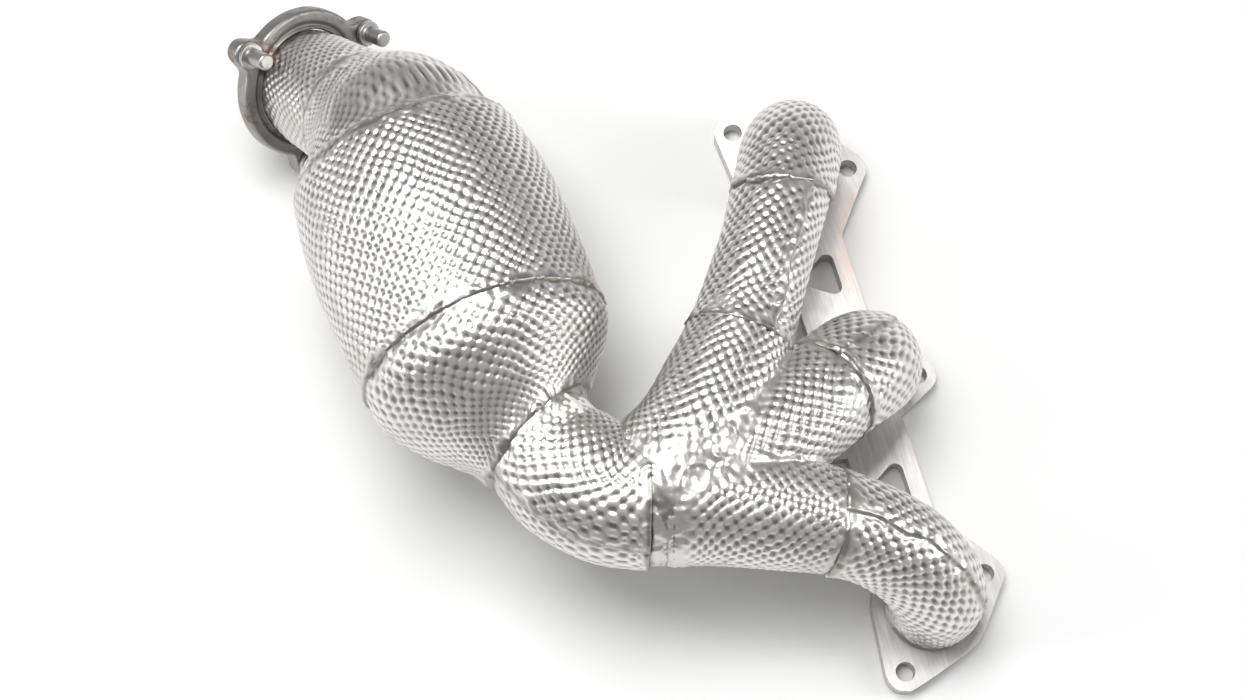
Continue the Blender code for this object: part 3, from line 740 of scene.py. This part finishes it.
def flange_material():
    """Milled mild steel, with a heat tint on the edge between ports 1 and 2."""
    n = Nodes("milled_steel")
    grain = n.add("ShaderNodeTexNoise", {"Vector": n.add("ShaderNodeMapping", {
        "Vector": n.place, "Scale": (900.0, 60.0, 300.0)}).outputs[0], "Scale": 1.0,
        "Detail": 5.0}).outputs["Fac"]
    colour = n.ramp(grain, (0.3, (0.50, 0.49, 0.475)), (0.7, (0.64, 0.63, 0.615)))
    cloudy = n.ramp(n.noise(28.0, 5.0), (0.42, 0.0), (0.75, 0.5))
    colour = n.mix(cloudy, colour, (0.42, 0.39, 0.36))
    hottest = (PLATE_EDGE + 0.004, PORT_PITCH * 0.55, PLATE_TOP)
    where = n.add("ShaderNodeVectorMath", {0: n.place, 1: hottest}, operation="DISTANCE").outputs["Value"]
    reach = n.maths("ADD", where, n.maths("MULTIPLY", n.noise(60.0), 0.02))
    tint = n.ramp(n.maths("MULTIPLY", reach, 20.0), (0.35, 0.85), (1.0, 0.0))
    colour = n.mix(tint, colour, (0.60, 0.33, 0.24))
    rough = n.ramp(n.noise(90.0, 5.0), (0.3, 0.30), (0.7, 0.46))
    return n.finish(colour, rough, grain, 0.20, 0.0002)


def worn_steel(name, base, rust_share, roughness, rust=(0.23, 0.12, 0.07)):
    """Plain steel with spots of rust."""
    n = Nodes(name)
    colour = n.ramp(n.noise(130.0, 6.0), (0.3, tuple(c * 0.72 for c in base)), (0.7, base))
    spots = n.ramp(n.noise(75.0, 8.0, 0.7), (0.62 - rust_share, 0.0), (0.74 - rust_share, 0.85))
    colour = n.mix(spots, colour, rust)
    rough = n.mix(spots, (roughness,) * 3, (0.85, 0.85, 0.85))
    return n.finish(colour, rough, n.noise(600.0, 6.0), 0.35, 0.0003)


def soft_material(name, base, scale):
    """Fibre or ceramic: matt, with a fine mottle."""
    n = Nodes(name, 0.0)
    colour = n.ramp(n.noise(scale, 6.0), (0.3, tuple(c * 0.75 for c in base)), (0.7, base))
    rough = n.ramp(n.noise(scale * 0.5), (0.3, 0.85), (0.7, 0.97))
    return n.finish(colour, rough, n.noise(scale * 2.0), 0.6, 0.0005)


MATERIALS = {
    "foil": foil_material(),
    "flange": flange_material(),
    "rusty": worn_steel("rusty_steel", (0.40, 0.385, 0.37), 0.10, 0.42),
    "bolt": worn_steel("bolt_steel", (0.55, 0.54, 0.53), 0.0, 0.35),
    "pipe": worn_steel("pipe_steel", (0.46, 0.42, 0.38), 0.03, 0.42),
    "weld": worn_steel("weld_steel", (0.44, 0.40, 0.37), 0.06, 0.45),
    "fibre": soft_material("mineral_fibre", (0.80, 0.78, 0.72), 700.0),
    "ceramic": soft_material("coated_ceramic", (0.58, 0.50, 0.40), 500.0),
}


LOOKS = {
    "runner_pipe": "pipe", "outlet_pipe": "pipe", "collector": "pipe", "converter_can": "pipe",
    "connecting_bend": "pipe", "inlet_cone": "pipe", "outlet_cone": "pipe", "weld_bead": "weld",
    "outlet_lip": "weld", "fibre": "fibre", "support_mat": "fibre", "catalyst": "ceramic",
    "head_flange": "flange", "outlet_flange": "rusty", "outlet_bolt": "bolt", "foil": "foil",
}


def dress_frame():
    """Better materials for the CAD nodes, by how their names start."""
    for name, item in frame["nodes"].items():
        key = [look for start, look in LOOKS.items() if name.startswith(start)][0]
        item.data.materials.clear()
        item.data.materials.append(MATERIALS[key])


def build_head_plate():
    """The head flange with its edges broken, from a copy of the CAD plate's mesh."""
    mesh = frame["nodes"]["head_flange"].data.copy()
    work = bmesh.new()
    work.from_mesh(mesh)
    bmesh.ops.remove_doubles(work, verts=work.verts, dist=1e-6)
    bmesh.ops.dissolve_limit(work, angle_limit=math.radians(1.0), verts=work.verts, edges=work.edges)
    work.to_mesh(mesh)
    work.free()
    item = placed("head_flange_plate", mesh, MATERIALS["flange"], ["head_flange"])
    bevel = item.modifiers.new("broken_edges", "BEVEL")
    bevel.width = 0.0006
    bevel.segments = 3
    bevel.limit_method = "ANGLE"
    bevel.angle_limit = math.radians(50)
    mesh.shade_smooth()
    mesh.set_sharp_from_angle(angle=math.radians(40))


# ---------------------------------------------------------------- studio

FLOOR_HALF = 6.0
FLOOR_GAP = 0.0004                             # keeps the floor off the head flange's flat face
LIGHTS = {                                     # place from the object's middle, size, watts
    "overhead": ((-0.2, 0.3, 1.5), (0.9, 0.7), 24.5),
    "left": ((-1.4, 0.2, 0.8), (0.3, 1.2), 7.0),
    "right": ((1.3, -0.5, 0.7), (0.25, 1.0), 8.0),
}
CAMERA_AZIMUTH = math.radians(-15.5)
CAMERA_ELEVATION = math.radians(72.0)
CAMERA_DISTANCE = 1.0124
CAMERA_AIM = Vector((-0.10792, 0.04908, 0.0))
CAMERA_LENS = 57.88


def turn_to(item, way):
    """Points a light or camera along way."""
    item.rotation_mode = "QUATERNION"
    item.rotation_quaternion = way.to_track_quat("-Z", "Y")


def build_floor():
    """A plain pale floor just under the object."""
    half = FLOOR_HALF
    mesh = bpy.data.meshes.new("floor")
    mesh.from_pydata([(-half, -half, 0), (half, -half, 0), (half, half, 0), (-half, half, 0)], [],
                     [(0, 1, 2, 3)])
    floor = bpy.data.objects.new("floor", mesh)
    bpy.context.scene.collection.objects.link(floor)
    floor.location.z = CAD_BOX[0].z - FLOOR_GAP
    paint = bpy.data.materials.new("pale_floor")
    paint.use_nodes = True
    shader = paint.node_tree.nodes["Principled BSDF"]
    shader.inputs["Base Color"].default_value = (0.74, 0.74, 0.735, 1.0)
    shader.inputs["Roughness"].default_value = 0.8
    mesh.materials.append(paint)


def build_lights():
    """Three soft lights and a pale surrounding."""
    middle = (CAD_BOX[0] + CAD_BOX[1]) / 2
    for name, (place, size, power) in LIGHTS.items():
        light = bpy.data.lights.new(name, "AREA")
        light.shape = "RECTANGLE"
        light.size, light.size_y = size
        light.energy = power
        item = bpy.data.objects.new(name, light)
        bpy.context.scene.collection.objects.link(item)
        item.location = middle + Vector(place)
        turn_to(item, middle - item.location)
    world = bpy.data.worlds.new("studio")
    world.use_nodes = True
    background = world.node_tree.nodes["Background"]
    background.inputs["Color"].default_value = (0.62, 0.62, 0.63, 1.0)
    background.inputs["Strength"].default_value = 0.55
    bpy.context.scene.world = world
    bpy.context.scene.view_settings.view_transform = "Standard"


def build_camera():
    """The camera, where the photograph was taken from."""
    level = math.cos(CAMERA_ELEVATION)
    back = Vector((math.sin(CAMERA_AZIMUTH) * level, -math.cos(CAMERA_AZIMUTH) * level,
                   math.sin(CAMERA_ELEVATION)))
    camera = bpy.data.objects.new("camera", bpy.data.cameras.new("camera"))
    camera.data.lens = CAMERA_LENS
    camera.data.sensor_width = 36.0
    camera.data.clip_start = 0.01
    camera.location = CAMERA_AIM + back * CAMERA_DISTANCE
    turn_to(camera, -back)
    bpy.context.scene.collection.objects.link(camera)
    bpy.context.scene.camera = camera


dress_frame()
build_head_plate()
build_foil()
build_outlet()
build_floor()
build_lights()
build_camera()
